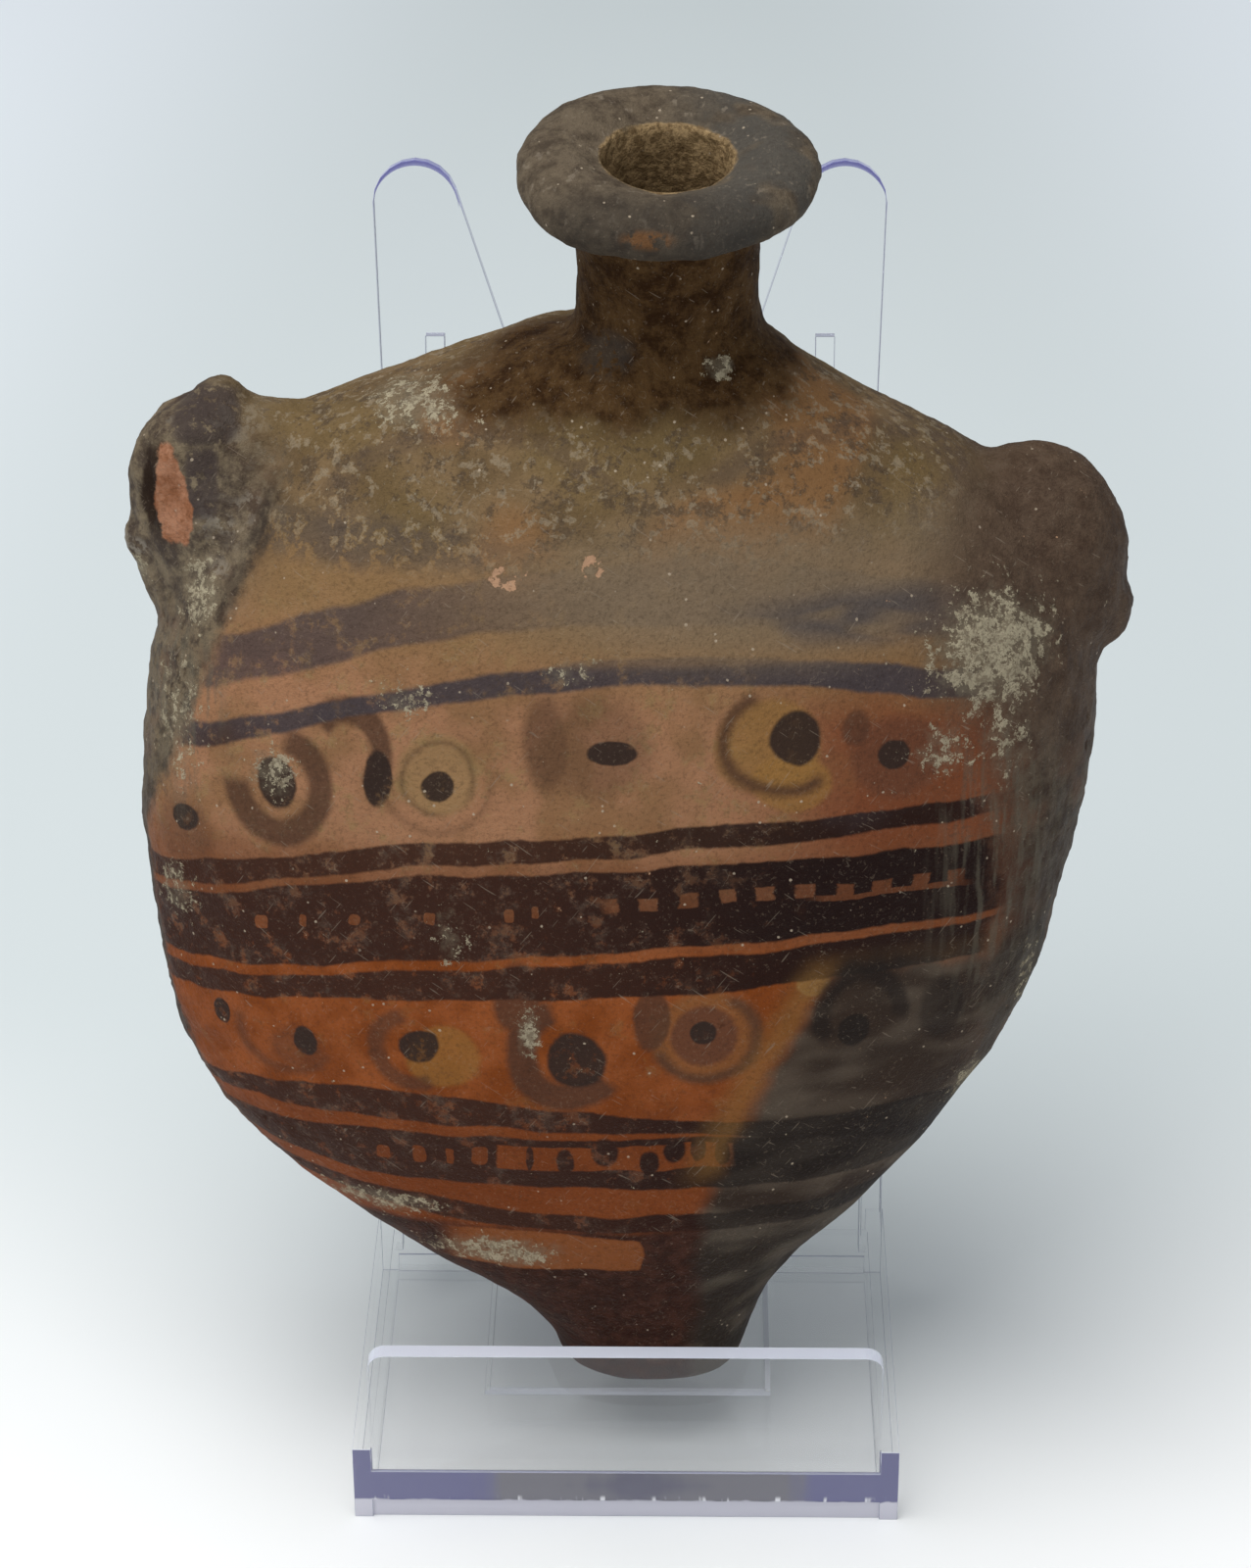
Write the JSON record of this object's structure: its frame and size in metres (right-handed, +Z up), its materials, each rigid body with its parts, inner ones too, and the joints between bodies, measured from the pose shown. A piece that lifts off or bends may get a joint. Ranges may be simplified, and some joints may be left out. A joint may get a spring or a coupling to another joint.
{
  "type": "askos",
  "caption": "Hand-made painted pottery flask with a flat round belly, shoulder lugs, knob foot and a tipped neck, leaning in a clear moulded easel with a tray, lip and notched back plate.",
  "frame": {"origin": "middle of the underside of the whole thing's box, on the table that the easel stands on", "axes": "+Z up, -Y towards the viewer who faces the painted side and the tray's lip, +X to that viewer's right"},
  "size_m": [0.1408, 0.1106, 0.1984],
  "materials": {
    "painted_pottery": "low-fired orange clay with dark brown painted bands, smoked grey on one side, worn and crusted, nearly matt",
    "clear_plastic": "clear moulded plastic, glossy, with a blue-violet tint along its edges"
  },
  "bodies": {
    "root": {"painted_flask": "painted_pottery", "clear_easel": "clear_plastic"}
  },
  "joints": []
}
